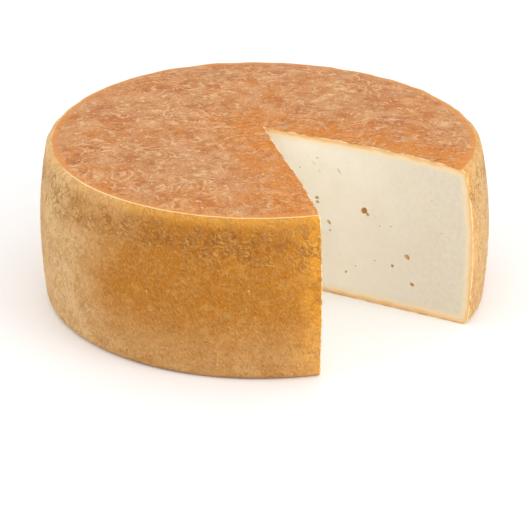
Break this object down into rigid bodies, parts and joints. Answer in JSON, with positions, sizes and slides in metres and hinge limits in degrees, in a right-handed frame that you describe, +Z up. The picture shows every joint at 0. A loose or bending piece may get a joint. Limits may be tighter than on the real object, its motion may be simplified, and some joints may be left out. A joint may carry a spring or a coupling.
{
  "type": "hard goat cheese wheel",
  "caption": "Low round wheel of aged goat cheese with a dry wrinkled natural rind and a bulging side, cut open by one missing wedge that shows the pale paste with small eyes.",
  "frame": {"origin": "on the surface that the wheel rests on, below the middle of its outline", "axes": "+Z up along the wheel's axis; -Y is the side from which the picture looks, with the missing wedge to the front right"},
  "size_m": [0.2808, 0.2794, 0.1048],
  "materials": {
    "rind": "dry, brushed, slightly waxy natural rind, browner on top and golden on the side",
    "paste": "smooth satin ivory cut face"
  },
  "bodies": {
    "root": {"cheese_wheel": "rind"}
  },
  "joints": []
}
